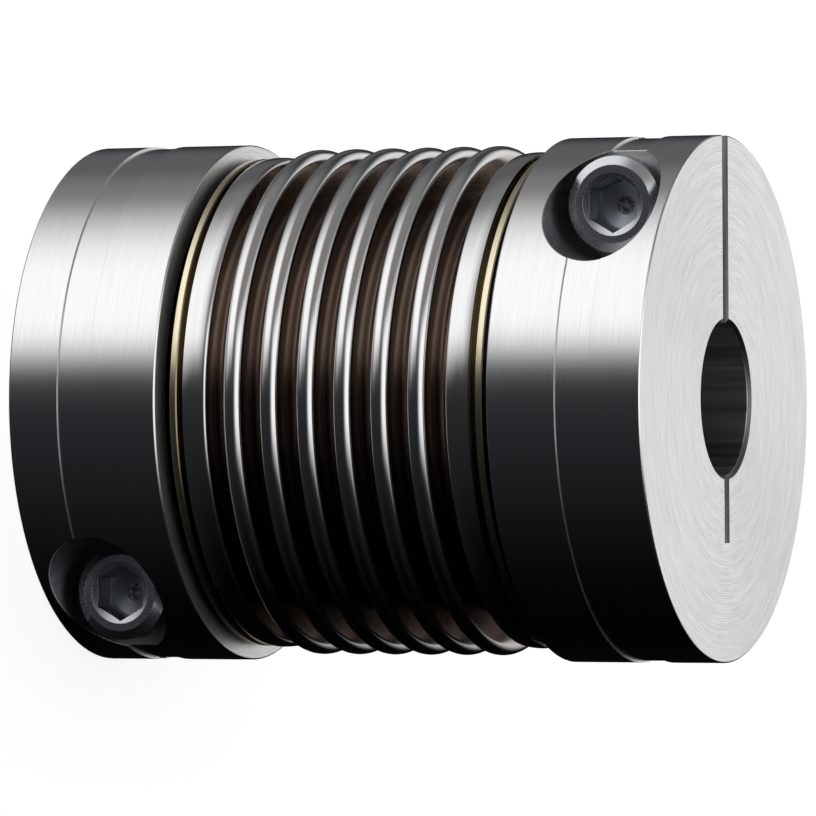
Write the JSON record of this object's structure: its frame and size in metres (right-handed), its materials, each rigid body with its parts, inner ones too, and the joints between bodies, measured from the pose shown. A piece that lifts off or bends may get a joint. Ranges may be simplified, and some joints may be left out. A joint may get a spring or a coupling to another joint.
{
  "type": "bellows coupling",
  "caption": "Backlash-free shaft coupling: metal bellows between clamping hubs, each closed on its shaft by a socket-head screw.",
  "frame": {"origin": "centre of the lower hub's outer face, on which the coupling stands", "axes": "+Z along the shaft axis from the lower hub to the upper hub; both screw heads face -Y; the lower hub's slit opens to +X and the upper hub's to -X"},
  "size_m": [0.055, 0.055, 0.0695],
  "materials": {
    "hub_metal": "fine turned, bright",
    "bellows_steel": "smooth drawn, bright",
    "ring_brass": "turned",
    "screw_steel": "bluish zinc plate"
  },
  "bodies": {
    "lower_half": {"lower_hub": "hub_metal", "lower_end_ring": "ring_brass", "lower_clamp_screw": "screw_steel", "bellows": "bellows_steel"},
    "upper_half": {"upper_hub": "hub_metal", "upper_end_ring": "ring_brass", "upper_clamp_screw": "screw_steel"}
  },
  "joints": [
    {"name": "bellows_travel", "type": "slide", "parent": "lower_half", "child": "upper_half", "axis": [0, 0, 1], "range_m": [-0.001, 0.001], "stiffness_N_per_m": 50000, "deforming": ["bellows"]}
  ]
}
